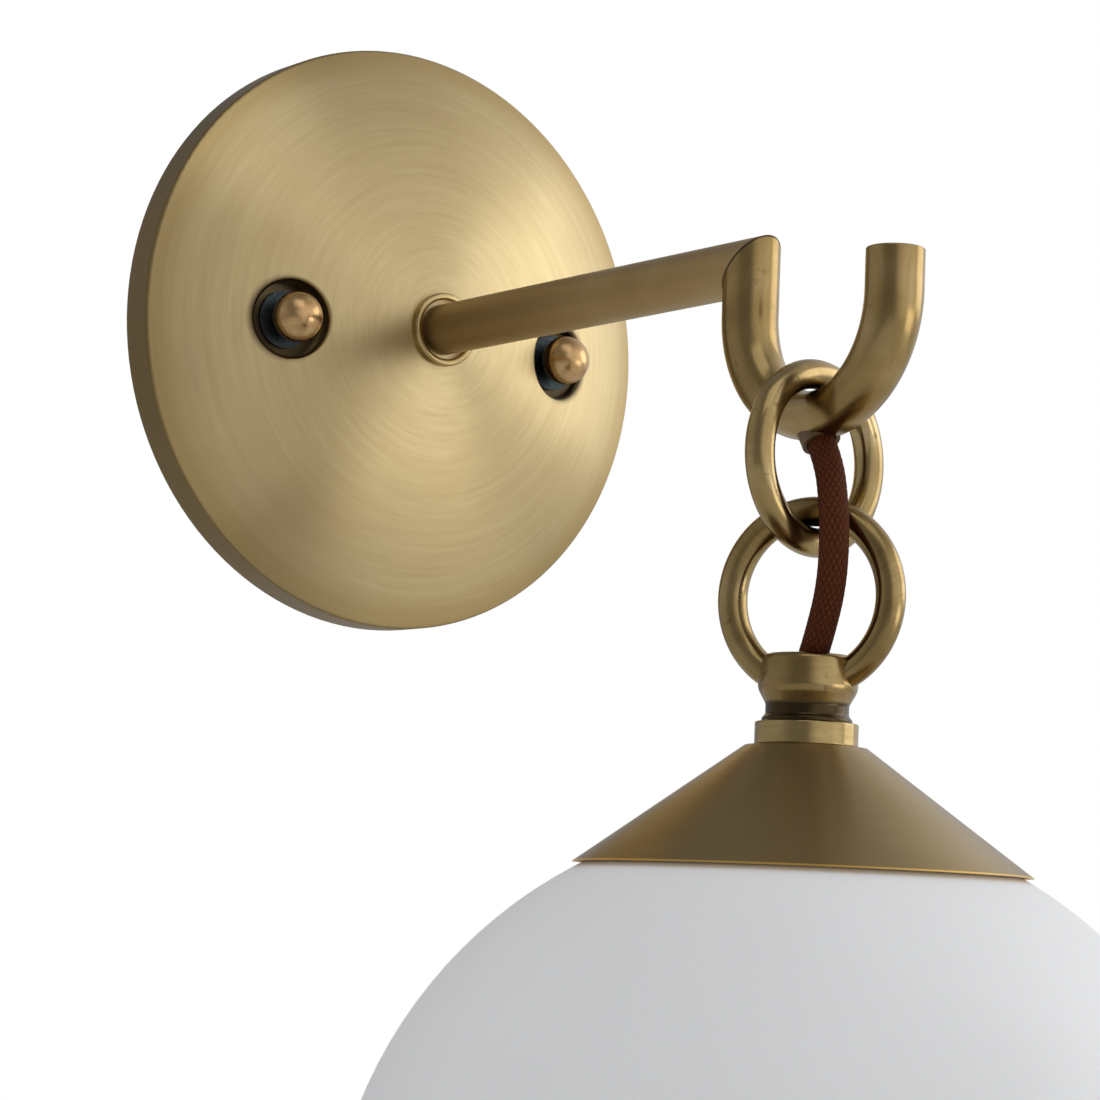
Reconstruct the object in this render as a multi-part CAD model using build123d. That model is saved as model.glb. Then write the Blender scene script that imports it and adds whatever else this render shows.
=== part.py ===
from build123d import *
import math
import os

# Hanging pendant wall sconce, in millimetres.
# Frame: the wall is the plane Y = 0, the front of the lamp faces -Y, +Z is up.
# The origin is the centre of the wall plate's back.

# Wall plate: a spun brass dome with a straight rim.
plate_d = 152.4
plate_rim_depth = 9.6
plate_rise = 19.9
plate_sheet = 1.6
plate_edge_round = 1.2
plate_centre_hole_d = 8.6

# Two pressed recesses in the plate, each with a fixing stud, a washer and a ball nut.
fixing_spacing = 84.0
fixing_drop = 2.0
recess_d = 19.4
recess_depth = 4.6
recess_lip_round = 1.1
recess_lip_rise = 0.005
recess_hole_d = 5.4
stud_d = 3.9
stud_thread_play = 0.05
stud_wall_gap = 0.05
stud_tip_in_ball = 7.6
ball_d = 12.7
ball_flat_cut = 0.5
ball_bore_end_play = 0.5
recess_washer_d = 14.6
recess_washer_thick = 1.0
recess_washer_play = 0.15
stud_nut_flats = 7.0
stud_nut_thick = 3.0

# Crossbar that is screwed to the wall box.
bar_length = 112.0
bar_width = 20.0
bar_thick = 2.0
bar_centre_hole_d = 12.0
box_slot_spacing = 65.0
box_slot_width = 4.4
box_slot_length = 9.4
earth_screw_x = -17.5
earth_head_d = 8.0
earth_head_thick = 2.4
earth_slot_width = 1.0
earth_slot_depth = 1.1

# Terminal block on the crossbar.
block_x = 17.5
block_length = 15.0
block_width = 16.0
block_height = 11.0
block_corner_round = 1.0
terminal_pitch = 7.6
terminal_screw_d = 3.6
terminal_screw_length = 3.0
terminal_slot_width = 1.0
terminal_slot_depth = 0.55
terminal_well_depth = 4.0
terminal_well_play = 0.2

# Tube of the arm and the hook.
tube_d = 13.0
tube_wall = 1.0
arm_reach = 153.6
hook_bend_radius = 24.4
hook_bend_height = -11.4
hook_bend_flattening = 1.9
hook_bend_sections = 9
hook_tip_height = -2.4
hook_cap_thick = 1.6
hook_cap_crown = 0.35
ferrule_length = 14.0
ferrule_fit = 0.02

# Collar ring where the arm meets the plate.
collar_d = 19.0
collar_bore = 15.4
collar_height = 2.4
collar_round = 0.8

# Threaded hollow nipples with their nuts and lock washers.
nipple_d = 8.0
nipple_bore = 5.6
nipple_play = 0.05
nut_flats = 13.0
nut_thick = 5.0
lock_washer_d = 15.0
lock_washer_thick = 1.2
lock_washer_split = 1.2
arm_nipple_in_ferrule = 12.0
arm_nipple_past_nut = 2.2

# Cord outlet in the underside of the hook.
outlet_tilt = 32.0
outlet_forward = 1.5
outlet_d = 8.8
outlet_bore = 7.0
outlet_inside = 3.6
outlet_proud = 0.8
outlet_fit = 0.05

# Rings: the closed upper link and the cast loop.
wire_d = 6.6
link_radius = 18.75
link_turn = 9.2
loop_radius = 19.2
loop_turn = -66.0
hang_gap = 0.3

# Cast loop body, measured down from its flat top.
body_top_below_loop_centre = 12.6
body_top_r = 9.9
body_wide_r = 11.2
body_wide_drop = 7.4
body_neck_r = 9.2
body_neck_top_drop = 11.0
body_neck_end_drop = 13.3
body_foot_r = 10.0
body_foot_drop = 14.2
body_height = 15.0
body_rounds = [1.6, 4.0, 1.6, 1.0, 0.6, 0.3]
cord_hole_d = 8.4
cord_mouth_d = 13.4
cord_mouth_depth = 3.4
cord_mouth_rise = 1.4
cord_hole_depth = 8.0

# Check collar and cone.
check_d = 22.8
check_height = 5.2
check_edge_round = 0.4
cone_top_r = 13.4
cone_bottom_r = 50.4
cone_height = 27.0
cone_wall = 1.0
cone_shoulder_round = 0.9

# Opal glass globe and its rubber seal.
globe_d = 200.0
globe_wall = 3.0
globe_opening_d = 68.0
globe_rim_round = 1.0
globe_cone_gap = 0.4
seal_section_d = 1.9
seal_ring_r = 36.0
seal_gap = 0.15

# Spring spider that holds the globe by its opening.
spider_hub_r = 12.0
spider_thick = 0.8
spider_arm_width = 7.0
spider_arm_count = 3
spider_throat_r = 31.4
spider_throat_above_rim = 3.0
spider_throat_below_rim = 0.4
spider_knee_r = 36.0
spider_glass_gap = 0.3
spider_tail_r = 29.5
spider_tail_drop = 9.0
spider_bends = [2.0, 2.0, 1.5, 2.0]

# Lamp holder for a medium screw-base lamp.
holder_cap_r = 17.6
holder_cap_wall = 1.0
holder_cap_top_thick = 1.5
holder_cap_round = 3.0
holder_cap_height = 15.0
holder_boss_wall = 3.0
holder_boss_below_nipple = 1.0
holder_drop = 0.3
holder_body_r = 16.4
holder_body_top_drop = 9.0
holder_body_length = 43.0
holder_floor_thick = 20.0
holder_bore_r = 14.4
shell_r = 13.6
shell_wall = 0.4
shell_bead_r = 0.5
shell_bead_count = 5
shell_thread_pitch = 3.63
shell_length = 21.5
contact_r = 4.0
contact_thick = 0.4
contact_stem_r = 1.5
contact_stem_length = 2.0
nipple_in_loop = 6.2
nipple_in_holder = 3.5

# Wires inside the tubes, and the braided cord in the open.
lead_d = 4.0
lead_hole_d = 4.6
lead_height_in_plate = 8.0
lead_plate_bend = 5.0
lead_corner_bend = 6.0
lead_outlet_bend = 8.0
lead_outlet_turn = 7.3
lead_hook_half_turn = 35.0
cord_d = 6.6
outlet_first_run = 5.6
cord_arc_share = 0.45

# Sizes that follow from the ones above.
plate_r = plate_d / 2
dome_radius = (plate_r ** 2 + plate_rise ** 2) / (2 * plate_rise)
plate_depth = plate_rim_depth + plate_rise
dome_centre = plate_depth - dome_radius
collar_seat = dome_centre + math.sqrt(dome_radius ** 2 - (collar_d / 2) ** 2)
fixing_x = fixing_spacing / 2
fixing_r = math.hypot(fixing_x, fixing_drop)
recess_floor = dome_centre + math.sqrt(dome_radius ** 2 - fixing_r ** 2) - recess_depth
ball_seat = recess_floor + recess_washer_thick + hang_gap
ball_centre = ball_seat + ball_d / 2 - ball_flat_cut
stud_end = ball_seat + stud_tip_in_ball
inner_dome_radius = dome_radius - plate_sheet
lock_washer_seat = dome_centre + math.sqrt(inner_dome_radius ** 2 - (lock_washer_d / 2) ** 2)
tube_r = tube_d / 2
tube_bore_r = tube_r - tube_wall
pendant_y = -(arm_reach + hook_bend_radius)
hook_underside = hook_bend_height - hook_bend_radius - tube_r
hook_saddle = hook_underside + tube_d - hook_bend_flattening
wire_r = wire_d / 2
link_top = hook_saddle + hang_gap + wire_r
link_centre = link_top - link_radius
link_low = link_centre - link_radius
loop_top = link_low + wire_d + hang_gap
loop_centre = loop_top - loop_radius
body_top = loop_centre - body_top_below_loop_centre
body_bottom = body_top - body_height
cone_top = body_bottom - check_height
cone_bottom = cone_top - cone_height
cone_slope = (cone_bottom_r - cone_top_r) / cone_height
cone_wall_across = cone_wall * math.hypot(1, cone_slope)
globe_r = globe_d / 2
globe_opening_r = globe_opening_d / 2
cone_rim_inner_r = cone_bottom_r - cone_wall_across
globe_centre = cone_bottom - math.sqrt((globe_r + globe_cone_gap) ** 2 - cone_rim_inner_r ** 2)
globe_inner_r = globe_r - globe_wall
hub_bottom = cone_top - cone_wall - spider_thick
cap_nut_top = hub_bottom - lock_washer_thick
holder_top = cap_nut_top - nut_thick - holder_drop
holder_body_top = holder_top - holder_body_top_drop
holder_mouth = holder_body_top - holder_body_length
holder_floor = holder_body_top - holder_floor_thick
outlet_angle = math.radians(outlet_tilt)
outlet_direction = Vector(0, -math.sin(outlet_angle), -math.cos(outlet_angle))
outlet_point = Vector(0, pendant_y - outlet_forward, hook_underside)
cord_start = outlet_point - outlet_direction * outlet_inside
cord_end = body_top - cord_hole_depth

# Route of the braided cord, from inside the outlet to inside the cast loop body.
cord_route = [
    cord_start,
    outlet_point + outlet_direction * outlet_first_run,
    (-3.1, pendant_y - 10.1, -56.6),
    (-4.2, pendant_y - 12.2, -66.5),
    (-3.5, pendant_y - 10.6, -76.5),
    (-1.6, pendant_y - 5.2, -85.8),
    (0.0, pendant_y, -93.2),
    (0.0, pendant_y, cord_end),
]


def rod(radius, bottom, top):
    """Upright solid cylinder between two heights."""
    return Pos(0, 0, bottom) * Cylinder(radius, top - bottom, align=(Align.CENTER, Align.CENTER, Align.MIN))


def sleeve(outer_radius, inner_radius, bottom, top):
    """Upright tube between two heights."""
    return rod(outer_radius, bottom, top) - rod(inner_radius, bottom - 1, top + 1)


def hexagon_nut(flats, bore_radius, bottom, top):
    """Hexagon nut with a plain bore."""
    outline = RegularPolygon(flats / 2, 6, major_radius=False)
    return Pos(0, 0, bottom) * extrude(outline, top - bottom) - rod(bore_radius, bottom - 1, top + 1)


def split_washer(bottom, top):
    """Spring lock washer with its slit."""
    ring = sleeve(lock_washer_d / 2, nipple_d / 2 + nipple_play, bottom, top)
    slit = Box(lock_washer_d, lock_washer_split, top - bottom + 1)
    return ring - Pos(lock_washer_d / 2, 0, (bottom + top) / 2) * slit


def turned(outline):
    """Solid turned about the upright axis from a closed outline of radius and height."""
    return revolve(Plane.XZ * outline, Axis.Z)


def from_wall(shape):
    """Turns a piece drawn with its height pointing away from the wall into place."""
    return Rot(90, 0, 0) * shape


def on_pendant(shape):
    """Moves a piece drawn on the upright axis to the pendant's axis."""
    return Pos(0, pendant_y, 0) * shape


def at_fixings(shape):
    """Copies a piece to both fixings."""
    return [Pos(side * fixing_x, -fixing_drop, 0) * shape for side in (-1, 1)]


def ring_plane(height, turn):
    """Upright plane through the pendant's axis for a ring turned about that axis."""
    angle = math.radians(turn)
    across = (math.sin(angle), -math.cos(angle), 0)
    return Plane(origin=(0, pendant_y, height), x_dir=(0, 0, 1), z_dir=across)


def mitre_plane():
    """Plane of the mitred joint of the arm and the hook, facing the arm."""
    return Plane(origin=(0, -arm_reach, 0), x_dir=(1, 0, 0), z_dir=(0, 1, 1))


def tube_along(path, radius):
    """Round solid along a path."""
    section = Plane(origin=path @ 0, z_dir=path % 0) * Circle(radius)
    return sweep(section, path=path)


def arc_radii(points):
    """Largest calm radius at each corner of a route."""
    radii = []
    for before, corner, after in zip(points, points[1:], points[2:]):
        first = Vector(corner) - Vector(before)
        second = Vector(after) - Vector(corner)
        half_turn = math.radians(first.get_angle(second) / 2)
        radii.append(cord_arc_share * min(first.length, second.length) / math.tan(half_turn))
    return radii


# Pieces on the wall.

def above(height):
    """Everything in front of a plane that is parallel to the wall."""
    return Pos(0, 0, height) * Cylinder(plate_d, plate_d, align=(Align.CENTER, Align.CENTER, Align.MIN))


def square_to_dome(side, shape):
    """Places a piece drawn upright from the dome's own centre square to the dome at a fixing."""
    toward = (side * fixing_x, -fixing_drop, math.sqrt(dome_radius ** 2 - fixing_r ** 2))
    return Plane(origin=(0, 0, dome_centre), z_dir=toward) * shape


def make_recess(side):
    """Space of one pressed recess with its rounded lip. Its floor is parallel to the wall."""
    wall_r = recess_d / 2
    lip_r = wall_r + recess_lip_round
    lip_height = math.sqrt((dome_radius - recess_lip_round) ** 2 - lip_r ** 2) + recess_lip_rise
    lip_angle = math.degrees(math.atan2(lip_height, lip_r))
    lip = CenterArc((lip_r, lip_height), recess_lip_round, 180, lip_angle - 180)
    top = dome_radius + 1
    outline = lip + Polyline(lip @ 1, (lip_r, top), (0, top), (0, 0), (wall_r, 0), lip @ 0)
    return square_to_dome(side, turned(make_face(outline))) & above(recess_floor)


def make_wall_plate():
    outer = rod(plate_r, 0, plate_depth + 1) & Pos(0, 0, dome_centre) * Sphere(dome_radius)
    rim = outer.edges().filter_by(GeomType.CIRCLE).filter_by_position(Axis.Z, 1, plate_depth)
    outer = fillet(rim, plate_edge_round)
    outer -= rod(collar_d / 2, collar_seat, plate_depth + 1)
    hollow = rod(plate_r - plate_sheet, -1, plate_depth)
    hollow &= Pos(0, 0, dome_centre) * Sphere(inner_dome_radius)
    for side in (-1, 1):
        outer -= make_recess(side)
        cup = square_to_dome(side, rod(recess_d / 2 + plate_sheet, 0, dome_radius))
        hollow -= cup & above(recess_floor - plate_sheet)
    plate = outer - hollow
    for hole in at_fixings(rod(recess_hole_d / 2, 0, plate_depth)):
        plate -= hole
    return from_wall(plate - rod(plate_centre_hole_d / 2, 0, plate_depth + 1))


def make_crossbar():
    bar = extrude(SlotOverall(bar_length, bar_width), bar_thick)
    bar -= rod(bar_centre_hole_d / 2, -1, bar_thick + 1)
    slot = extrude(SlotOverall(box_slot_length, box_slot_width), bar_thick + 2)
    for side in (-1, 1):
        bar -= Pos(side * fixing_x, 0, 0) * rod(stud_d / 2 + stud_thread_play, -1, bar_thick + 1)
        bar -= Pos(side * box_slot_spacing / 2, 0, -1) * slot
    bar -= Pos(earth_screw_x, 0, 0) * rod(stud_d / 2 + stud_thread_play, -1, bar_thick + 1)
    return from_wall(Pos(0, -fixing_drop, 0) * bar)


def make_fixing_studs():
    return from_wall(Compound(at_fixings(rod(stud_d / 2, stud_wall_gap, stud_end))))


def make_stud_nuts():
    nut = hexagon_nut(stud_nut_flats, stud_d / 2 + stud_thread_play, bar_thick, bar_thick + stud_nut_thick)
    return from_wall(Compound(at_fixings(nut)))


def make_recess_washers():
    washer = sleeve(recess_washer_d / 2, stud_d / 2 + recess_washer_play, recess_floor,
                    recess_floor + recess_washer_thick)
    return from_wall(Compound(at_fixings(washer)))


def make_ball_nut(side):
    ball = Pos(0, 0, ball_centre) * Sphere(ball_d / 2)
    ball -= rod(ball_d, ball_seat - ball_d, ball_seat)
    ball -= rod(stud_d / 2 + stud_thread_play, ball_seat - 1, stud_end + ball_bore_end_play)
    return from_wall(Pos(side * fixing_x, -fixing_drop, 0) * ball)


def make_earth_screw():
    screw = rod(stud_d / 2, stud_wall_gap, bar_thick)
    screw += rod(earth_head_d / 2, bar_thick, bar_thick + earth_head_thick)
    groove_middle = bar_thick + earth_head_thick - earth_slot_depth / 2
    screw -= Pos(0, 0, groove_middle) * Box(earth_head_d + 1, earth_slot_width, earth_slot_depth)
    return from_wall(Pos(earth_screw_x, -fixing_drop, 0) * screw)


def terminal_places():
    return [(block_x, side * terminal_pitch / 2 - fixing_drop) for side in (-1, 1)]


def make_terminal_block():
    block = Pos(0, 0, bar_thick) * Box(block_length, block_width, block_height,
                                       align=(Align.CENTER, Align.CENTER, Align.MIN))
    block = fillet(block.edges().filter_by(Axis.Z), block_corner_round)
    block = Pos(block_x, -fixing_drop, 0) * block
    block_top = bar_thick + block_height
    for x, y in terminal_places():
        well_r = terminal_screw_d / 2 + terminal_well_play
        block -= Pos(x, y, 0) * rod(well_r, block_top - terminal_well_depth, block_top + 1)
    return from_wall(block)


def make_terminal_screws():
    well_floor = bar_thick + block_height - terminal_well_depth
    screw = rod(terminal_screw_d / 2, well_floor, well_floor + terminal_screw_length)
    groove_middle = well_floor + terminal_screw_length - terminal_slot_depth / 2
    screw -= Pos(0, 0, groove_middle) * Box(terminal_screw_d + 1, terminal_slot_width, terminal_slot_depth)
    return from_wall(Compound([Pos(x, y, 0) * screw for x, y in terminal_places()]))


# Arm and hook.

def make_arm_collar():
    ring = sleeve(collar_d / 2, collar_bore / 2, collar_seat, collar_seat + collar_height)
    face_edges = ring.edges().filter_by(GeomType.CIRCLE).sort_by(Axis.Z)[-2:]
    return from_wall(fillet(face_edges, collar_round))


def make_arm_tube():
    tube = from_wall(sleeve(tube_r, tube_bore_r, collar_seat, arm_reach + tube_d))
    return split(tube, bisect_by=mitre_plane(), keep=Keep.TOP)


def make_arm_ferrule():
    return from_wall(sleeve(tube_bore_r - ferrule_fit, nipple_d / 2 + nipple_play, collar_seat,
                            collar_seat + ferrule_length))


def arm_nut_bottom():
    return lock_washer_seat - lock_washer_thick - nut_thick


def make_arm_nipple():
    return from_wall(sleeve(nipple_d / 2, nipple_bore / 2, arm_nut_bottom() - arm_nipple_past_nut,
                            collar_seat + arm_nipple_in_ferrule))


def make_arm_lock_washer():
    return from_wall(split_washer(lock_washer_seat - lock_washer_thick, lock_washer_seat))


def make_arm_nut():
    return from_wall(hexagon_nut(nut_flats, nipple_d / 2 + nipple_play, arm_nut_bottom(),
                                 lock_washer_seat - lock_washer_thick))


def hook_section(turn, wall):
    """Outline of the tube in its bend, drawn in by a wall, flattened on the inside of the bend."""
    angle = math.radians(turn)
    across = tube_d - hook_bend_flattening * math.sin(angle) ** 2
    reach = hook_bend_radius + tube_r - across / 2
    place = (0, pendant_y + reach * math.cos(angle), hook_bend_height - reach * math.sin(angle))
    ahead = (0, -math.sin(angle), -math.cos(angle))
    return Plane(origin=place, x_dir=(1, 0, 0), z_dir=ahead) * Ellipse(tube_r - wall, across / 2 - wall)


def hook_solid(wall):
    """Solid hook: two straight limbs and the bend between them, drawn in by a wall."""
    turns = [180 * step / (hook_bend_sections - 1) for step in range(hook_bend_sections)]
    bend = loft([hook_section(turn, wall) for turn in turns])
    limb = Pos(0, -arm_reach, 0) * rod(tube_r - wall, hook_bend_height, tube_d)
    tip_y = pendant_y - hook_bend_radius
    tip = Pos(0, tip_y, 0) * rod(tube_r - wall, hook_bend_height, hook_tip_height - hook_cap_thick)
    return bend + limb + tip


def make_hook_tube():
    tube = split(hook_solid(0) - hook_solid(tube_wall), bisect_by=mitre_plane(), keep=Keep.BOTTOM)
    return tube - outlet_axis() * rod(outlet_d / 2 + outlet_fit, -outlet_d, tube_r)


def make_hook_end_cap():
    front_y = pendant_y - hook_bend_radius
    cap = rod(tube_r, hook_tip_height - hook_cap_thick, hook_tip_height)
    cap = fillet(cap.edges().sort_by(Axis.Z)[-1], hook_cap_crown)
    return Pos(0, front_y, 0) * cap


def outlet_axis():
    """Place of the outlet's mouth, with its height pointing into the hook."""
    return Plane(origin=outlet_point, x_dir=(1, 0, 0), z_dir=-outlet_direction)


def make_cord_outlet():
    return outlet_axis() * sleeve(outlet_d / 2, outlet_bore / 2, -outlet_proud, outlet_inside)


def make_arm_leads():
    drop = hook_bend_radius * math.tan(math.radians(lead_hook_half_turn))
    into_bend = (0, -arm_reach, hook_bend_height - drop)
    route = [
        (block_x - block_length / 2, -lead_height_in_plate, 0),
        (0, -lead_height_in_plate, 0),
        (0, -arm_reach, 0),
        into_bend,
        outlet_point - outlet_direction * lead_outlet_turn,
        cord_start,
    ]
    bends = [lead_plate_bend, lead_corner_bend, hook_bend_radius, lead_outlet_bend]
    return tube_along(FilletPolyline(*route, radius=bends), lead_d / 2)


# Chain and cord.

def make_upper_link():
    return ring_plane(link_centre, link_turn) * Torus(link_radius, wire_r)


def make_supply_cord():
    radii = arc_radii(cord_route)
    path = FilletPolyline(*cord_route, radius=radii)
    cord = tube_along(path, cord_d / 2)
    expected = math.pi * cord_d ** 2 / 4 * path.length
    print("supply_cord radii", [round(radius, 1) for radius in radii], "length", round(path.length, 1),
          "volume over section x length", round(cord.volume / expected, 4))
    return cord


# Pendant.

def make_loop_casting():
    outline = FilletPolyline(
        (0, body_top),
        (body_top_r, body_top),
        (body_wide_r, body_top - body_wide_drop),
        (body_neck_r, body_top - body_neck_top_drop),
        (body_neck_r, body_top - body_neck_end_drop),
        (body_foot_r, body_top - body_foot_drop),
        (body_foot_r, body_bottom),
        (0, body_bottom),
        radius=body_rounds,
    )
    body = on_pendant(turned(make_face(outline + Line((0, body_bottom), (0, body_top)))))
    casting = body + ring_plane(loop_centre, loop_turn) * Torus(loop_radius, wire_r)
    mouth = Cone(cord_hole_d / 2, cord_mouth_d / 2, cord_mouth_depth)
    mouth = Pos(0, 0, body_top - cord_mouth_depth / 2) * mouth
    casting -= on_pendant(mouth + rod(cord_mouth_d / 2, body_top, body_top + cord_mouth_rise))
    casting -= on_pendant(rod(cord_hole_d / 2, cord_end, body_top))
    thread_top = body_bottom + nipple_in_loop + nipple_play
    casting -= on_pendant(rod(nipple_d / 2 + nipple_play, body_bottom - 1, thread_top))
    return casting - on_pendant(rod(lead_hole_d / 2, body_bottom, body_top))


def make_check_collar():
    ring = sleeve(check_d / 2, nipple_d / 2 + nipple_play, cone_top, body_bottom)
    outside = [edge for edge in ring.edges().filter_by(GeomType.CIRCLE) if edge.radius > body_foot_r]
    return on_pendant(fillet(outside, check_edge_round))


def make_cone_cap():
    inner_top = cone_top - cone_wall
    inner_top_r = cone_top_r + cone_slope * cone_wall - cone_wall_across
    hole_r = nipple_d / 2 + nipple_play
    outline = make_face(Polyline(
        (hole_r, cone_top),
        (cone_top_r, cone_top),
        (cone_bottom_r, cone_bottom),
        (cone_rim_inner_r, cone_bottom),
        (inner_top_r, inner_top),
        (hole_r, inner_top),
        close=True,
    ))
    cone = turned(outline)
    shoulder = [edge for edge in cone.edges().filter_by(GeomType.CIRCLE)
                if abs(edge.radius - cone_top_r) < 0.01 and edge.center().Z > inner_top]
    return on_pendant(fillet(shoulder, cone_shoulder_round))


def make_globe_spring():
    hub_middle = hub_bottom + spider_thick / 2
    rim_top = globe_centre + math.sqrt(globe_r ** 2 - globe_opening_r ** 2)
    rim_low = globe_centre + math.sqrt(globe_inner_r ** 2 - globe_opening_r ** 2)
    knee_reach = globe_inner_r - spider_glass_gap - spider_thick
    knee = globe_centre + math.sqrt(knee_reach ** 2 - spider_knee_r ** 2)
    path = FilletPolyline(
        (0, hub_middle),
        (spider_hub_r, hub_middle),
        (spider_throat_r, rim_top + spider_throat_above_rim),
        (spider_throat_r, rim_low - spider_throat_below_rim),
        (spider_knee_r, knee),
        (spider_tail_r, knee - spider_tail_drop),
        radius=spider_bends,
    )
    strip = Plane.XZ * trace(path, spider_thick)
    arm = extrude(strip, spider_arm_width / 2, both=True)
    spider = rod(spider_hub_r, hub_bottom, hub_bottom + spider_thick)
    for turn in range(spider_arm_count):
        spider += Rot(0, 0, turn * 360 / spider_arm_count) * arm
    return on_pendant(spider - rod(nipple_d / 2 + nipple_play, hub_bottom - 1, cone_top))


def make_pendant_nipple():
    return on_pendant(sleeve(nipple_d / 2, nipple_bore / 2, holder_top - nipple_in_holder,
                             body_bottom + nipple_in_loop))


def make_cap_lock_washer():
    return on_pendant(split_washer(cap_nut_top, hub_bottom))


def make_cap_nut():
    nut = hexagon_nut(nut_flats, nipple_d / 2 + nipple_play, cap_nut_top - nut_thick, cap_nut_top)
    return on_pendant(nut)


def make_holder_cap():
    cap = rod(holder_cap_r, holder_top - holder_cap_height, holder_top)
    cap = fillet(cap.edges().sort_by(Axis.Z)[-1], holder_cap_round)
    inside = rod(holder_cap_r - holder_cap_wall, holder_top - holder_cap_height - 1,
                 holder_top - holder_cap_top_thick)
    inside = fillet(inside.edges().sort_by(Axis.Z)[-1], holder_cap_round - holder_cap_wall)
    cap -= inside
    boss_bottom = holder_top - nipple_in_holder - holder_boss_below_nipple
    boss = rod(nipple_d / 2 + holder_boss_wall, boss_bottom, holder_top - holder_cap_top_thick / 2)
    thread = rod(nipple_d / 2 + nipple_play, holder_top - holder_cap_height, holder_top + 1)
    return on_pendant(cap + boss - thread)


def make_holder_body():
    body = rod(holder_body_r, holder_mouth, holder_body_top)
    body -= rod(holder_bore_r, holder_mouth - 1, holder_floor)
    return on_pendant(body - rod(lead_hole_d / 2, holder_mouth, holder_body_top + 1))


def make_screw_shell():
    bottom = holder_floor - shell_length
    shell = rod(shell_r, bottom, holder_floor)
    for turn in range(shell_bead_count):
        height = holder_floor - (turn + 1) * shell_thread_pitch
        shell += Pos(0, 0, height) * Torus(shell_r, shell_bead_r)
    return on_pendant(shell - rod(shell_r - shell_wall, bottom - 1, holder_floor - shell_wall)
                      - rod(contact_r + 1, bottom, holder_floor + 1))


def make_centre_contact():
    contact = rod(contact_r, holder_floor - contact_thick, holder_floor)
    return on_pendant(contact + rod(contact_stem_r, holder_floor - contact_thick,
                                    holder_floor + contact_stem_length))


def make_pendant_leads():
    return on_pendant(rod(lead_d / 2, holder_floor + contact_stem_length, cord_end))


# Globe.

def make_glass_globe():
    glass = Sphere(globe_r) - Sphere(globe_inner_r) - rod(globe_opening_r, 0, globe_r + 1)
    rim = glass.edges().filter_by(GeomType.CIRCLE).filter_by_position(Axis.Z, globe_r / 2, globe_r)
    return Pos(0, pendant_y, globe_centre) * fillet(rim, globe_rim_round)


def make_globe_seal():
    reach = globe_r + seal_gap + seal_section_d / 2
    height = globe_centre + math.sqrt(reach ** 2 - seal_ring_r ** 2)
    return on_pendant(Pos(0, 0, height) * Torus(seal_ring_r, seal_section_d / 2))


pieces = {
    "wall_plate": make_wall_plate(),
    "crossbar": make_crossbar(),
    "fixing_studs": make_fixing_studs(),
    "stud_nuts": make_stud_nuts(),
    "recess_washers": make_recess_washers(),
    "ball_nut_left": make_ball_nut(-1),
    "ball_nut_right": make_ball_nut(1),
    "earth_screw": make_earth_screw(),
    "terminal_block": make_terminal_block(),
    "terminal_screws": make_terminal_screws(),
    "arm_collar": make_arm_collar(),
    "arm_tube": make_arm_tube(),
    "arm_ferrule": make_arm_ferrule(),
    "arm_nipple": make_arm_nipple(),
    "arm_lock_washer": make_arm_lock_washer(),
    "arm_nut": make_arm_nut(),
    "hook_tube": make_hook_tube(),
    "hook_end_cap": make_hook_end_cap(),
    "cord_outlet": make_cord_outlet(),
    "arm_leads": make_arm_leads(),
    "upper_link": make_upper_link(),
    "supply_cord": make_supply_cord(),
    "loop_casting": make_loop_casting(),
    "check_collar": make_check_collar(),
    "cone_cap": make_cone_cap(),
    "globe_spring": make_globe_spring(),
    "pendant_nipple": make_pendant_nipple(),
    "cap_lock_washer": make_cap_lock_washer(),
    "cap_nut": make_cap_nut(),
    "holder_cap": make_holder_cap(),
    "holder_body": make_holder_body(),
    "screw_shell": make_screw_shell(),
    "centre_contact": make_centre_contact(),
    "pendant_leads": make_pendant_leads(),
    "glass_globe": make_glass_globe(),
    "globe_seal": make_globe_seal(),
}

os.makedirs("parts", exist_ok=True)
for name, piece in pieces.items():
    export_step(piece, f"parts/{name}.step")
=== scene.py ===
import logging
import math
from dataclasses import dataclass, field
from enum import Enum

import bpy
from mathutils import Matrix, Vector


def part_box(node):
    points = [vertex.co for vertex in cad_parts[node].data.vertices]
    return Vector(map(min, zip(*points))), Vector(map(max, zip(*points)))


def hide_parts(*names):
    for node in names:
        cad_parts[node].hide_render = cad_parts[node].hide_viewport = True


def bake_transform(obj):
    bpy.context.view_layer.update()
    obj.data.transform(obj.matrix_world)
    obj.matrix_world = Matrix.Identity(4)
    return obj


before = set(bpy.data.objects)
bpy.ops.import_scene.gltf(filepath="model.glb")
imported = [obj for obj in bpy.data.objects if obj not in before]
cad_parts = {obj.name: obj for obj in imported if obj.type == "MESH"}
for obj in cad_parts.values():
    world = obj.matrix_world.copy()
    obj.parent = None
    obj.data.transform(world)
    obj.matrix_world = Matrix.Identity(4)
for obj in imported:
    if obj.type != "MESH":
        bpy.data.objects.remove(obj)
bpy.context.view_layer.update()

MM = 0.001

# Upright line that the hook's bend, both rings, the cone and the globe stand on.
HANGING_Y_MM = -178.0

# A noise texture's values lie mostly between these two.
NOISE_LOW = 0.35
NOISE_HIGH = 0.65

logging.basicConfig(level=logging.INFO, format="%(name)s: %(message)s")
log = logging.getLogger("sconce")

Colour = tuple[float, float, float, float]
Point = tuple[float, float, float]
Row = list[tuple[Vector, float]]


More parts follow.
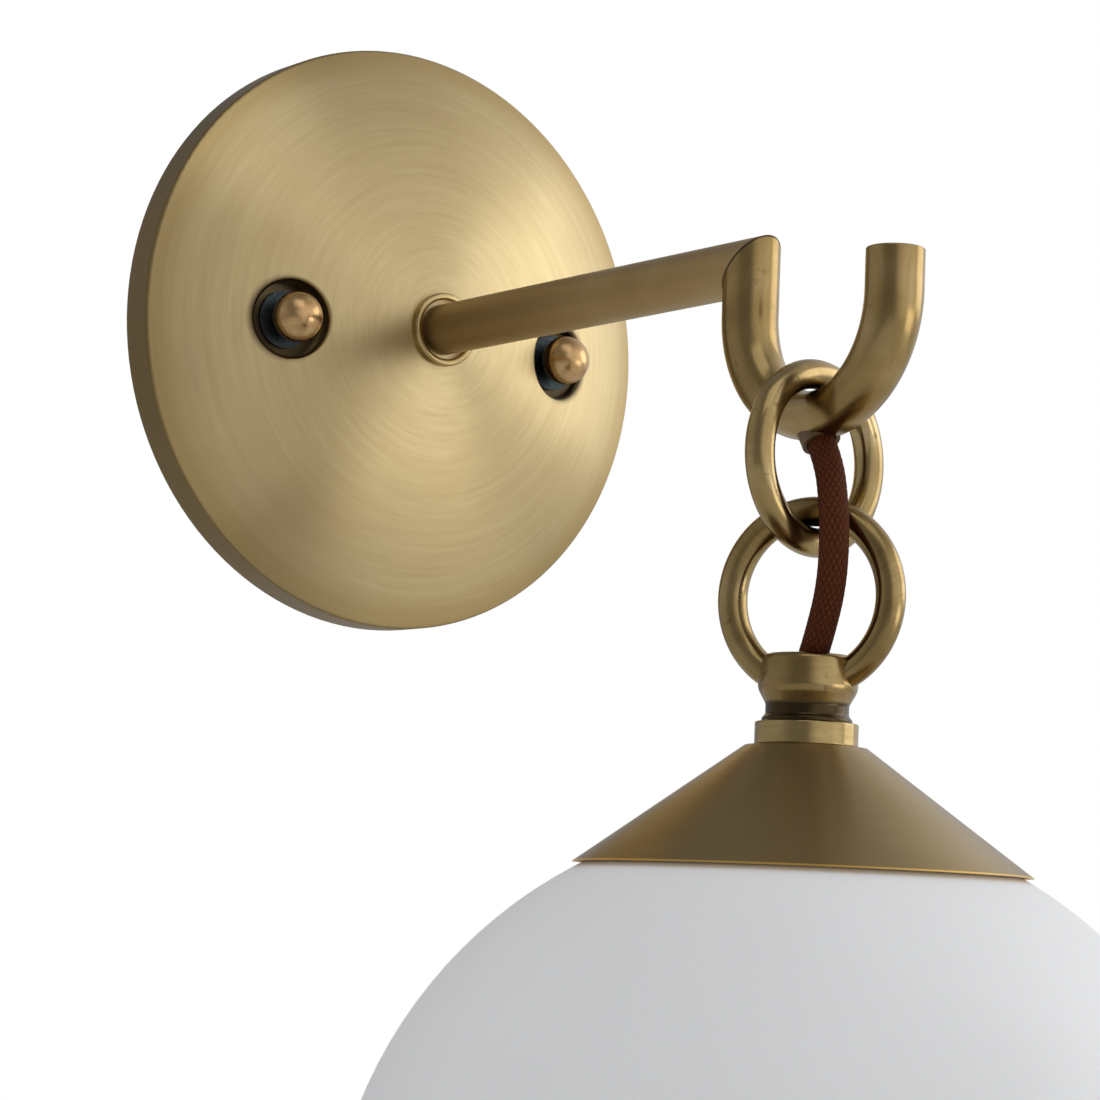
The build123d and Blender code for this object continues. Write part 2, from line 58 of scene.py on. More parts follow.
class Axis(Enum):
    """Axis that a piece was turned or drawn about, as its unit vector."""

    ALONG_X = (1.0, 0.0, 0.0)
    OUT_OF_WALL = (0.0, 1.0, 0.0)
    UPRIGHT = (0.0, 0.0, 1.0)

    @property
    def letter(self) -> str:
        """Returns the axis letter that Blender's tangent node takes."""
        return {"ALONG_X": "X", "OUT_OF_WALL": "Y", "UPRIGHT": "Z"}[self.name]


def linear(hex_colour: str) -> Colour:
    """Turns an sRGB hex colour into linear light.

    Args:
        hex_colour: Six hex digits after a hash sign.

    Returns:
        Red, green, blue and an alpha of one.
    """
    channels = [int(hex_colour[start:start + 2], 16) / 255 for start in (1, 3, 5)]
    light = [c / 12.92 if c <= 0.04045 else ((c + 0.055) / 1.055) ** 2.4 for c in channels]
    return (light[0], light[1], light[2], 1.0)


def add_node(tree: bpy.types.NodeTree, kind: str, settings: dict | None = None,
             links: dict | None = None) -> bpy.types.Node:
    """Adds one shader node.

    Args:
        tree: Node tree that gets the node.
        kind: Blender's type name of the node.
        settings: Properties of the node by name.
        links: Socket name or number to a value, or to the output socket that feeds it.

    Returns:
        The new node.
    """
    node = tree.nodes.new(kind)
    for name, value in (settings or {}).items():
        setattr(node, name, value)
    for name, value in (links or {}).items():
        if isinstance(value, bpy.types.NodeSocket):
            tree.links.new(value, node.inputs[name])
        else:
            node.inputs[name].default_value = value
    return node


def set_stops(ramp_node: bpy.types.Node, stops: list[tuple[float, Colour]]) -> None:
    """Gives a colour ramp its stops.

    Args:
        ramp_node: The colour ramp.
        stops: Place from zero to one and linear colour of each stop, in rising order.
    """
    elements = ramp_node.color_ramp.elements
    while len(elements) < len(stops):
        elements.new(1.0)
    for element, (place, colour) in zip(elements, stops):
        element.position = place
        element.color = colour


def new_material(name: str) -> tuple[bpy.types.Material, bpy.types.NodeTree, bpy.types.NodeSocket]:
    """Makes a material with an empty node tree.

    Args:
        name: Name of the material.

    Returns:
        The material, its node tree and the socket of the point on the piece, in metres.
    """
    material = bpy.data.materials.new(name)
    material.use_nodes = True
    tree = material.node_tree
    tree.nodes.clear()
    return material, tree, add_node(tree, "ShaderNodeTexCoord").outputs["Object"]


def add_noise(tree: bpy.types.NodeTree, place: bpy.types.NodeSocket, size_mm: float, detail: float,
              roughness: float = 0.5) -> bpy.types.NodeSocket:
    """Adds a noise texture.

    Args:
        tree: Node tree of the material.
        place: Point on the piece, in metres.
        size_mm: Size of the largest spots.
        detail: Number of finer layers over them.
        roughness: Strength of each finer layer beside the one before.

    Returns:
        The socket of its value.
    """
    return add_node(tree, "ShaderNodeTexNoise", {"noise_dimensions": "3D"},
                    {"Vector": place, "Scale": 1.0 / (size_mm * MM), "Detail": detail,
                     "Roughness": roughness}).outputs[0]


@dataclass(frozen=True)
class ShadeAndPatinaSpot:
    """A soft-edged dark place: patina where polish and cloth don't reach, with painted shade where a recess
    or a touching part shades the metal.
    """

    centre_mm: Point
    radius_mm: float
    fade_mm: float
    depth: float


@dataclass(frozen=True)
class JointOrPaintedLightLine:
    """Thin line in a plane: a dark brazed joint, patina with painted shade in a groove, or a painted bright
    line of reflected light.
    """

    point_mm: Point
    normal: Point
    half_width_mm: float
    fade_mm: float
    depth: float
    colour: str = "#2A2017"


@dataclass(frozen=True)
class RimShade:
    """A darker tone towards the outside of a turned face: painted shade on the steeper edge of the dome and
    on its side band.
    """

    start_mm: float
    end_mm: float
    colour: str
    depth: float


@dataclass(frozen=True)
class Grain:
    """Fine lines that a belt or a lathe leaves round an axis.

    The real lines are about 0.1 mm apart, too fine to show, so pitch_mm is several times that.
    """

    axis: Axis
    centre_mm: Point
    pitch_mm: float
    arc_mm: float
    at_radius_mm: float

    def spokes(self, tree: bpy.types.NodeTree) -> tuple[bpy.types.Node, bpy.types.Node, bpy.types.Node]:
        """Builds the offset from the centre, its part square to the axis, and that part's length.

        Args:
            tree: Node tree of the material.

        Returns:
            The nodes of the offset, the flat offset and the radius, in metres.
        """
        place = add_node(tree, "ShaderNodeTexCoord").outputs["Object"]
        centre = Vector(self.centre_mm) * MM
        offset = add_node(tree, "ShaderNodeVectorMath", {"operation": "SUBTRACT"}, {0: place, 1: centre})
        flat_mask = Vector((1, 1, 1)) - Vector(self.axis.value)
        flat = add_node(tree, "ShaderNodeVectorMath", {"operation": "MULTIPLY"},
                        {0: offset.outputs[0], 1: flat_mask})
        radius = add_node(tree, "ShaderNodeVectorMath", {"operation": "LENGTH"}, {0: flat.outputs[0]})
        return offset, flat, radius

    def coordinate(self, tree: bpy.types.NodeTree) -> bpy.types.NodeSocket:
        """Builds a noise coordinate that is long round the axis and short across it.

        Args:
            tree: Node tree of the material.

        Returns:
            The vector socket to feed a noise texture of scale one.
        """
        axis = Vector(self.axis.value)
        offset, flat, radius = self.spokes(tree)
        along = add_node(tree, "ShaderNodeVectorMath", {"operation": "DOT_PRODUCT"},
                         {0: offset.outputs[0], 1: axis})
        across = add_node(tree, "ShaderNodeMath", {"operation": "SUBTRACT"},
                          {0: radius.outputs["Value"], 1: along.outputs["Value"]})
        steps = add_node(tree, "ShaderNodeMath", {"operation": "DIVIDE"},
                         {0: across.outputs[0], 1: self.pitch_mm * MM})
        lines = add_node(tree, "ShaderNodeVectorMath", {"operation": "SCALE"},
                         {0: axis, "Scale": steps.outputs[0]})
        heading = add_node(tree, "ShaderNodeVectorMath", {"operation": "NORMALIZE"}, {0: flat.outputs[0]})
        arcs = add_node(tree, "ShaderNodeVectorMath", {"operation": "SCALE"},
                        {0: heading.outputs[0], "Scale": self.at_radius_mm / self.arc_mm})
        return add_node(tree, "ShaderNodeVectorMath", {"operation": "ADD"},
                        {0: lines.outputs[0], 1: arcs.outputs[0]}).outputs[0]


@dataclass(frozen=True)
class PatinaBrass:
    """Brushed brass with an antique patina: warm worn metal over a browner tone, darker in the low places
    from patina and painted shade.

    To the eye it is soft gold with cloudy tone and a highlight that the brush lines draw out.
    """

    name: str
    shade: str
    body: str
    worn: str
    grain: Grain
    roughness: float = 0.36
    roughness_swing: float = 0.03
    anisotropy: float = 0.5
    tangent: Axis = Axis.UPRIGHT
    blotch_mm: float = 14.0
    grain_share: float = 0.5
    grain_height_mm: float = 0.012
    speck_mm: float = 2.4
    speck_depth: float = 0.0
    speck_edge: float = 0.68
    speck_heart: float = 0.76
    # Colour of real nicks and patina, and of painted shade in recesses and where parts touch.
    nick_patina_and_shade_colour: str = "#2A2017"
    shade_and_patina_spots: tuple[ShadeAndPatinaSpot, ...] = ()
    joint_and_painted_light_lines: tuple[JointOrPaintedLightLine, ...] = ()
    rims: tuple[RimShade, ...] = ()

    def build(self) -> bpy.types.Material:
        """Makes the material.

        Returns:
            The material, ready to go on a piece.
        """
        material, tree, place = new_material(self.name)
        lines = add_node(tree, "ShaderNodeTexNoise", {"noise_dimensions": "3D"},
                         {"Vector": self.grain.coordinate(tree), "Scale": 1.0, "Detail": 4.0,
                          "Roughness": 0.7})
        blotches = add_noise(tree, place, self.blotch_mm, 2.0, 0.45)
        mixed = add_node(tree, "ShaderNodeMix", {"data_type": "FLOAT"},
                         {"Factor": self.grain_share, 2: blotches, 3: lines.outputs[0]})
        tone = add_node(tree, "ShaderNodeValToRGB", None, {"Fac": mixed.outputs[0]})
        set_stops(tone, [(0.3, linear(self.shade)), (0.5, linear(self.body)), (0.7, linear(self.worn))])
        colour = tone.outputs["Color"]
        for rim in self.rims:
            colour = self._rim_shaded(tree, colour, rim)
        if self.speck_depth:
            colour = self._specked(tree, place, colour)
        # Dark places of patina and painted shade, in recesses and where parts touch.
        for shade_spot in self.shade_and_patina_spots:
            colour = self._spot_shaded(tree, place, colour, shade_spot)
        # Lines: dark joints, patina with painted shade in grooves, and painted highlights.
        for line_mark in self.joint_and_painted_light_lines:
            colour = self._line_marked(tree, place, colour, line_mark)
        rough = add_node(tree, "ShaderNodeMapRange", None,
                         {"Value": mixed.outputs[0], "From Min": NOISE_LOW, "From Max": NOISE_HIGH,
                          "To Min": self.roughness + self.roughness_swing,
                          "To Max": self.roughness - self.roughness_swing})
        bump = add_node(tree, "ShaderNodeBump", None,
                        {"Strength": 0.6, "Distance": self.grain_height_mm * MM, "Height": lines.outputs[0]})
        around = add_node(tree, "ShaderNodeTangent",
                          {"direction_type": "RADIAL", "axis": self.tangent.letter})
        shader = add_node(tree, "ShaderNodeBsdfPrincipled", None,
                          {"Base Color": colour, "Metallic": 1.0, "Roughness": rough.outputs[0],
                           "Anisotropic": self.anisotropy, "Anisotropic Rotation": 0.25,
                           "Tangent": around.outputs[0], "Normal": bump.outputs[0]})
        add_node(tree, "ShaderNodeOutputMaterial", None, {"Surface": shader.outputs[0]})
        return material

    def _toned(self, tree: bpy.types.NodeTree, colour: bpy.types.NodeSocket, mask: bpy.types.NodeSocket,
               other: str) -> bpy.types.NodeSocket:
        """Mixes another tone into the colour.

        Args:
            tree: Node tree of the material.
            colour: Colour before.
            mask: Share of the other tone at each point.
            other: The other tone.

        Returns:
            The mixed colour.
        """
        return add_node(tree, "ShaderNodeMix", {"data_type": "RGBA"},
                        {"Factor": mask, 6: colour, 7: linear(other)}).outputs[2]

    def _rim_shaded(self, tree: bpy.types.NodeTree, colour: bpy.types.NodeSocket,
                   rim: RimShade) -> bpy.types.NodeSocket:
        """Paints shade towards the outside of the face.

        Args:
            tree: Node tree of the material.
            colour: Colour before.
            rim: Place and tone of the painted shade.

        Returns:
            The colour with painted shade.
        """
        radius = self.grain.spokes(tree)[2].outputs["Value"]
        mask = add_node(tree, "ShaderNodeMapRange", {"interpolation_type": "SMOOTHSTEP"},
                        {"Value": radius, "From Min": rim.start_mm * MM, "From Max": rim.end_mm * MM,
                         "To Min": 0.0, "To Max": rim.depth})
        return self._toned(tree, colour, mask.outputs[0], rim.colour)

    def _specked(self, tree: bpy.types.NodeTree, place: bpy.types.NodeSocket,
                 colour: bpy.types.NodeSocket) -> bpy.types.NodeSocket:
        """Adds the few small dark nicks that hand brushing leaves in a casting or a bent wire.

        Args:
            tree: Node tree of the material.
            place: Point on the piece, in metres.
            colour: Colour before.

        Returns:
            The specked colour.
        """
        specks = add_noise(tree, place, self.speck_mm, 1.5)
        mask = add_node(tree, "ShaderNodeMapRange", {"interpolation_type": "SMOOTHSTEP"},
                        {"Value": specks, "From Min": self.speck_edge, "From Max": self.speck_heart,
                         "To Min": 0.0, "To Max": self.speck_depth})
        return self._toned(tree, colour, mask.outputs[0], self.nick_patina_and_shade_colour)

    def _spot_shaded(self, tree: bpy.types.NodeTree, place: bpy.types.NodeSocket,
                 colour: bpy.types.NodeSocket, shade_spot: ShadeAndPatinaSpot) -> bpy.types.NodeSocket:
        """Darkens the colour round one point with patina and painted shade.

        Args:
            tree: Node tree of the material.
            place: Point on the piece, in metres.
            colour: Colour before the dark place.
            shade_spot: Place and size of the dark place of patina and painted shade.

        Returns:
            The darkened colour.
        """
        centre = Vector(shade_spot.centre_mm) * MM
        reach = add_node(tree, "ShaderNodeVectorMath", {"operation": "DISTANCE"}, {0: place, 1: centre})
        mask = add_node(tree, "ShaderNodeMapRange", {"interpolation_type": "SMOOTHSTEP"},
                        {"Value": reach.outputs["Value"], "From Min": (shade_spot.radius_mm + shade_spot.fade_mm) * MM,
                         "From Max": shade_spot.radius_mm * MM, "To Min": 0.0, "To Max": shade_spot.depth})
        return self._toned(tree, colour, mask.outputs[0], self.nick_patina_and_shade_colour)

    def _line_marked(self, tree: bpy.types.NodeTree, place: bpy.types.NodeSocket,
                colour: bpy.types.NodeSocket, line_mark: JointOrPaintedLightLine) -> bpy.types.NodeSocket:
        """Draws one line: a joint, painted shade in a groove, or a painted highlight.

        Args:
            tree: Node tree of the material.
            place: Point on the piece, in metres.
            colour: Colour before the line.
            line_mark: Plane, width and colour of the line.

        Returns:
            The colour with the line.
        """
        point = Vector(line_mark.point_mm) * MM
        offset = add_node(tree, "ShaderNodeVectorMath", {"operation": "SUBTRACT"}, {0: place, 1: point})
        height = add_node(tree, "ShaderNodeVectorMath", {"operation": "DOT_PRODUCT"},
                          {0: offset.outputs[0], 1: Vector(line_mark.normal).normalized()})
        away = add_node(tree, "ShaderNodeMath", {"operation": "ABSOLUTE"}, {0: height.outputs["Value"]})
        mask = add_node(tree, "ShaderNodeMapRange", {"interpolation_type": "SMOOTHSTEP"},
                        {"Value": away.outputs[0], "From Min": (line_mark.half_width_mm + line_mark.fade_mm) * MM,
                         "From Max": line_mark.half_width_mm * MM, "To Min": 0.0, "To Max": line_mark.depth})
        return self._toned(tree, colour, mask.outputs[0], line_mark.colour)


@dataclass(frozen=True)
class PlainMetal:
    """Machine-made metal with cloudy turning or rolling marks, drawn coarser than the real ones.

    To the eye it is an even metal whose highlight breaks up a little.
    """

    name: str
    dark: str
    light: str
    roughness: float
    mark_mm: float = 0.8
    mark_height_mm: float = 0.01

    def build(self) -> bpy.types.Material:
        """Makes the material.

        Returns:
            The material, ready to go on a piece.
        """
        material, tree, place = new_material(self.name)
        marks = add_noise(tree, place, self.mark_mm, 4.0, 0.6)
        tone = add_node(tree, "ShaderNodeValToRGB", None, {"Fac": marks})
        set_stops(tone, [(NOISE_LOW, linear(self.dark)), (NOISE_HIGH, linear(self.light))])
        rough = add_node(tree, "ShaderNodeMapRange", None,
                         {"Value": marks, "From Min": 0.3, "From Max": 0.7,
                          "To Min": self.roughness + 0.06, "To Max": max(0.02, self.roughness - 0.05)})
        bump = add_node(tree, "ShaderNodeBump", None,
                        {"Strength": 0.3, "Distance": self.mark_height_mm * MM, "Height": marks})
        shader = add_node(tree, "ShaderNodeBsdfPrincipled", None,
                          {"Base Color": tone.outputs[0], "Metallic": 1.0, "Roughness": rough.outputs[0],
                           "Normal": bump.outputs[0]})
        add_node(tree, "ShaderNodeOutputMaterial", None, {"Surface": shader.outputs[0]})
        return material


@dataclass(frozen=True)
class Moulded:
    """Moulded plastic or rubber with a skin texture from its mould, drawn coarser than real.

    To the eye it is an even colour with a dull, slightly uneven sheen.
    """

    name: str
    dark: str
    light: str
    roughness: float
    ior: float = 1.5
    skin_mm: float = 0.6
    skin_height_mm: float = 0.02

    def build(self) -> bpy.types.Material:
        """Makes the material.

        Returns:
            The material, ready to go on a piece.
        """
        material, tree, place = new_material(self.name)
        skin = add_noise(tree, place, self.skin_mm, 3.0, 0.6)
        tone = add_node(tree, "ShaderNodeValToRGB", None, {"Fac": skin})
        set_stops(tone, [(NOISE_LOW, linear(self.dark)), (NOISE_HIGH, linear(self.light))])
        bump = add_node(tree, "ShaderNodeBump", None,
                        {"Strength": 0.4, "Distance": self.skin_height_mm * MM, "Height": skin})
        shader = add_node(tree, "ShaderNodeBsdfPrincipled", None,
                          {"Base Color": tone.outputs[0], "Roughness": self.roughness, "IOR": self.ior,
                           "Normal": bump.outputs[0]})
        add_node(tree, "ShaderNodeOutputMaterial", None, {"Surface": shader.outputs[0]})
        return material


@dataclass(frozen=True)
class OpalGlass:
    """Mouth-blown opal glass, acid-etched outside: a milky white body under a matt skin.

    To the eye it is a soft white ball without a sharp highlight. The etched skin is drawn coarser
    than the real one, which is far too fine to show.
    """

    name: str = "opal_glass_blown_acid_etched"
    milk: str = "#E6E7E9"
    thick: str = "#EBECEE"
    wave_mm: float = 70.0
    etch_mm: float = 0.5
    etch_height_mm: float = 0.01
    roughness: float = 0.62
    ior: float = 1.5
    scatter: float = 0.12
    scatter_mm: float = 3.0

    def build(self) -> bpy.types.Material:
        """Makes the material.

        Returns:
            The material, ready to go on a piece.
        """
        material, tree, place = new_material(self.name)
        wave = add_noise(tree, place, self.wave_mm, 1.0)
        tone = add_node(tree, "ShaderNodeValToRGB", None, {"Fac": wave})
        set_stops(tone, [(NOISE_LOW, linear(self.milk)), (NOISE_HIGH, linear(self.thick))])
        etch = add_noise(tree, place, self.etch_mm, 2.0)
        bump = add_node(tree, "ShaderNodeBump", None,
                        {"Strength": 0.15, "Distance": self.etch_height_mm * MM, "Height": etch})
        shader = add_node(tree, "ShaderNodeBsdfPrincipled", None,
                          {"Base Color": tone.outputs[0], "Roughness": self.roughness, "IOR": self.ior,
                           "Subsurface Weight": self.scatter, "Subsurface Scale": self.scatter_mm * MM,
                           "Normal": bump.outputs[0]})
        add_node(tree, "ShaderNodeOutputMaterial", None, {"Surface": shader.outputs[0]})
        return material


@dataclass(frozen=True)
class BraidedCotton:
    """Braided cotton sleeve of the cord, dyed rust brown: soft fibres, with painted shade between the yarns.

    To the eye it is a dull, dry brown without a highlight. Fibres are drawn coarser than real ones.
    """

    name: str = "cotton_braided_rust"
    groove_shade: str = "#220F06"
    yarn: str = "#45200F"
    fibre: str = "#6F3C1D"
    fibre_mm: float = 0.4
    fibre_share: float = 0.7
    fibre_height_mm: float = 0.08

    def build(self) -> bpy.types.Material:
        """Makes the material.

        Returns:
            The material, ready to go on a piece.
        """
        material, tree, place = new_material(self.name)
        height = add_node(tree, "ShaderNodeAttribute", {"attribute_name": "braid"}).outputs["Fac"]
        fibres = add_noise(tree, place, self.fibre_mm, 3.0)
        mixed = add_node(tree, "ShaderNodeMix", {"data_type": "FLOAT"},
                         {"Factor": self.fibre_share, 2: height, 3: fibres})
        tone = add_node(tree, "ShaderNodeValToRGB", None, {"Fac": mixed.outputs[0]})
        # The braid's height paints shade into the grooves between the yarns.
        set_stops(tone, [(0.15, linear(self.groove_shade)), (0.5, linear(self.yarn)), (0.85, linear(self.fibre))])
        bump = add_node(tree, "ShaderNodeBump", None,
                        {"Strength": 0.7, "Distance": self.fibre_height_mm * MM, "Height": fibres})
        shader = add_node(tree, "ShaderNodeBsdfPrincipled", None,
                          {"Base Color": tone.outputs[0], "Roughness": 0.9, "IOR": 1.47,
                           "Specular IOR Level": 0.15, "Normal": bump.outputs[0]})
        add_node(tree, "ShaderNodeOutputMaterial", None, {"Surface": shader.outputs[0]})
        return material


def dress(node: str, material: bpy.types.Material) -> None:
    """Gives a carried-over solid its finish.

    Args:
        node: Name of the solid.
        material: The finish.
    """
    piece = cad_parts[node]
    piece.data.materials.clear()
    piece.data.materials.append(material)
    log.info("%s: %s", node, material.name)


@dataclass
class WallPlate:
    """Domed wall plate with its fixings, the crossbar behind it and the terminal block."""

    fixing_mm: Point = (42.0, -20.5, -2.0)
    recess_shade_mm: float = 9.6
    recess_shade_fade_mm: float = 2.4
    rim_start_share: float = 0.86
    band_depth_mm: float = 0.5

    def finish(self) -> PatinaBrass:
        """Returns the lathe-brushed patina of the plate, with patina and painted shade in the two pressed
        recesses and painted shade towards the rim.
        """
        x, y, z = self.fixing_mm
        # Patina and painted shade round the two fixings, in the pressed recesses.
        shade_and_patina_spots = tuple(ShadeAndPatinaSpot((side * x, y, z), self.recess_shade_mm, self.recess_shade_fade_mm, 0.88) for side in (-1, 1))
        grain = Grain(Axis.OUT_OF_WALL, (0.0, 0.0, 0.0), 0.9, 30.0, 50.0)
        plate_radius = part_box("wall_plate")[1][2] / MM
        # Painted shade: darker towards the edge of the domed face, darkest on the side band of the rim.
        face_rim = RimShade(self.rim_start_share * plate_radius, plate_radius, "#947A45", 0.5)
        side_band = RimShade(plate_radius - self.band_depth_mm, plate_radius, "#705D3C", 0.9)
        return PatinaBrass("brass_spun_lathe_brushed_patina", "#A8946C", "#B19E75", "#BAA880", grain,
                           roughness=0.35, anisotropy=0.75, tangent=Axis.OUT_OF_WALL, blotch_mm=45.0,
                           grain_share=0.5, grain_height_mm=0.008, shade_and_patina_spots=shade_and_patina_spots,
                           rims=(face_rim, side_band))

    def build(self) -> None:
        """Dresses every solid at the wall."""
        dress("wall_plate", self.finish().build())
        polished = PlainMetal("brass_turned_polished_lacquered", "#AC8A5C", "#BD9C70", 0.25, 2.4).build()
        dress("ball_nut_left", polished)
        dress("ball_nut_right", polished)
        zinc = PlainMetal("steel_zinc_plated", "#8A9099", "#A9AFB6", 0.34).build()
        for node in ("crossbar", "fixing_studs", "stud_nuts", "terminal_screws", "arm_nipple",
                     "arm_lock_washer", "arm_nut", "pendant_nipple", "cap_lock_washer", "cap_nut"):
            dress(node, zinc)
        # Zinc painted near black: painted shade on the floor of the recesses.
        shaded_zinc = PlainMetal("steel_zinc_plated_painted_shade", "#2C3335", "#434C50", 0.45)
        dress("recess_washers", shaded_zinc.build())
        raw = PlainMetal("brass_turned_uncoated", "#A98A4A", "#C9AC68", 0.3).build()
        for node in ("earth_screw", "arm_ferrule", "centre_contact"):
            dress(node, raw)
        dress("terminal_block", Moulded("nylon_moulded_cream", "#CFC8B4", "#DCD6C4", 0.5).build())


@dataclass
class ArmAndHook:
    """Collar ring, straight tube, mitred hook and the bush that the cord comes out of."""

    arm_reach_mm: float = 153.6
    bend_height_mm: float = -11.4
    axis_y_mm: float = HANGING_Y_MM

    def build(self) -> None:
        """Dresses the arm and the hook."""
        mitre = JointOrPaintedLightLine((0.0, -self.arm_reach_mm, 0.0), (0.0, 1.0, 1.0), 0.12, 0.35, 0.85)
        around_arm = Grain(Axis.OUT_OF_WALL, (0.0, 0.0, 0.0), 0.8, 5.0, 6.5)
        arm = PatinaBrass("brass_drawn_belt_brushed_patina", "#9A8055", "#A3895D", "#AC9468", around_arm,
                          roughness=0.42, anisotropy=0.2, tangent=Axis.OUT_OF_WALL, grain_share=0.2,
                          blotch_mm=30.0, grain_height_mm=0.004, joint_and_painted_light_lines=(mitre,))
        dress("arm_tube", arm.build())
        collar = PatinaBrass("brass_turned_polished_patina", "#A08A5C", "#B5A072", "#C9B689", around_arm,
                             roughness=0.24, anisotropy=0.2, tangent=Axis.OUT_OF_WALL, grain_share=0.2)
        dress("arm_collar", collar.build())
        along_hook = Grain(Axis.ALONG_X, (0.0, self.axis_y_mm, self.bend_height_mm), 0.9, 9.0, 24.4)
        hook = PatinaBrass("brass_bent_tube_hand_brushed_patina", "#806A40", "#947D51", "#A8926A", along_hook,
                           roughness=0.23, anisotropy=0.1, tangent=Axis.ALONG_X, grain_share=0.25,
                           blotch_mm=16.0, grain_height_mm=0.006, speck_depth=0.2, joint_and_painted_light_lines=(mitre,))
        bent = hook.build()
        dress("hook_tube", bent)
        dress("hook_end_cap", bent)
        dress("cord_outlet", Moulded("nylon_moulded_bronze_brown", "#5A452A", "#665034", 0.4).build())
        dress("arm_leads", Moulded("silicone_lead_sleeve", "#C6C2B6", "#D2CFC5", 0.55).build())


@dataclass
class BraidedCord:
    """Cord that leaves the hook, bows out past the rings and goes into the cast loop.

    The yarns are drawn coarser than real ones, so that the braid shows.
    """

    route_mm: tuple[Point, ...] = (
        (0.0, -177.592, -39.247),
        (0.0, -182.468, -47.049),
        (-3.1, -188.1, -56.6),
        (-4.2, -190.2, -66.5),
        (-3.5, -188.6, -76.5),
        (-1.6, -183.2, -85.8),
        (0.0, -178.0, -93.2),
        (0.0, -178.0, -98.0),
    )
    diameter_mm: float = 6.6
    yarns_round: int = 16
    yarn_step_mm: float = 1.15
    yarn_rise_mm: float = 0.12
    sides: int = 128
    rows_per_yarn: int = 7
    root_mm: float = 18.0
    bush_mouth_share: float = 0.6

    def centreline(self) -> list[Vector]:
        """Reads the smooth line of the cord from a spline with the route as its control points.

        Returns:
            Points along the line, in metres.
        """
        curve = bpy.data.curves.new("cord_line", "CURVE")
        curve.dimensions = "3D"
        spline = curve.splines.new("NURBS")
        spline.points.add(len(self.route_mm) - 1)
        for control, point in zip(spline.points, self.route_mm):
            control.co = (*(Vector(point) * MM), 1.0)
        spline.order_u = 3
        spline.use_endpoint_u = True
        spline.resolution_u = 40
        holder = bpy.data.objects.new("cord_line", curve)
        bpy.context.scene.collection.objects.link(holder)
        bpy.context.view_layer.update()
        line = bpy.data.meshes.new_from_object(holder)
        points = [vertex.co.copy() for vertex in line.vertices]
        bpy.data.meshes.remove(line)
        bpy.data.objects.remove(holder)
        bpy.data.curves.remove(curve)
        return points

    def stations(self, line: list[Vector]) -> Row:
        """Steps evenly along the line.

        Args:
            line: Points along the line.

        Returns:
            Place and distance from the start of each station.
        """
        step = self.yarn_step_mm * MM / self.rows_per_yarn
        found = [(line[0], 0.0)]
        run = 0.0
        due = step
        for start, end in zip(line, line[1:]):
            length = (end - start).length
            while length > 0 and due <= run + length:
                found.append((start.lerp(end, (due - run) / length), due))
                due += step
            run += length
        found.append((line[-1], run))
        return found

    def yarn_height(self, turn: float, distance: float) -> float:
        """Works out how far the braid stands up at one place.

        Args:
            turn: Share of a full turn round the cord.
            distance: Distance along the cord, in metres.

        Returns:
            Zero in a groove, one on top of a yarn.
        """
        lean = distance / (self.yarn_step_mm * MM) / 2
        first = (turn * self.yarns_round + lean) % 1.0
        second = (turn * self.yarns_round - lean) % 1.0
        return math.sqrt(math.sin(math.pi * first) * math.sin(math.pi * second))

    def rings(self, stations: Row) -> list[Row]:
        """Works out the braided surface.

        Args:
            stations: Place and distance from the start of each row.

        Returns:
            Rows of points with the height of the braid at each.
        """
        radius = self.diameter_mm / 2 - self.yarn_rise_mm
        side = Vector((1.0, 0.0, 0.0))
        rows = []
        for index, (place, distance) in enumerate(stations):
            ahead = stations[min(index + 1, len(stations) - 1)][0]
            behind = stations[max(index - 1, 0)][0]
            heading = (ahead - behind).normalized()
            side = (side - heading * side.dot(heading)).normalized()
            other = heading.cross(side)
            row = []
            for step in range(self.sides):
                height = self.yarn_height(step / self.sides, distance)
                angle = math.tau * step / self.sides
                reach = (radius + self.yarn_rise_mm * height) * MM
                row.append((place + (side * math.cos(angle) + other * math.sin(angle)) * reach, height))
            rows.append(row)
        return rows

    def tube(self, name: str, rows: list[Row], material: bpy.types.Material) -> bpy.types.Object:
        """Makes one closed length of the cord.

        Args:
            name: Name of the piece.
            rows: Rows of points with the height of the braid at each.
            material: The braid.

        Returns:
            The piece, in the place of the cord's solid.
        """
        faces = []
        for row in range(len(rows) - 1):
            for step in range(self.sides):
                here = row * self.sides + step
                beside = row * self.sides + (step + 1) % self.sides
                faces.append((here, beside, beside + self.sides, here + self.sides))
        last = (len(rows) - 1) * self.sides
        ends = [tuple(range(self.sides - 1, -1, -1)), tuple(range(last, last + self.sides))]
        mesh = bpy.data.meshes.new(name)
        mesh.from_pydata([point for row in rows for point, _ in row], [], faces + ends)
        heights = [height for row in rows for _, height in row]
        mesh.attributes.new("braid", "FLOAT", "POINT").data.foreach_set("value", heights)
        mesh.polygons.foreach_set("use_smooth", [True] * len(faces) + [False] * len(ends))
        mesh.materials.append(material)
        piece = bpy.data.objects.new(name, mesh)
        bpy.context.scene.collection.objects.link(piece)
        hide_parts("supply_cord")
        log.info("%s: %d faces", name, len(mesh.polygons))
        return piece

    def build(self) -> None:
        """Makes the cord in two lengths that meet at the upper link."""
        stations = self.stations(self.centreline())
        rows = self.rings(stations)
        cut = next(index for index, (_, distance) in enumerate(stations) if distance >= self.root_mm * MM)
        braid = BraidedCotton().build()
        root = self.tube("braided_cord_root", rows[:cut + 1], braid)
        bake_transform(root)
        cord = self.tube("braided_cord", rows[cut:], braid)
        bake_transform(cord)
        log.info("cord: %.1f mm from the hook into the loop", stations[-1][1] / MM)


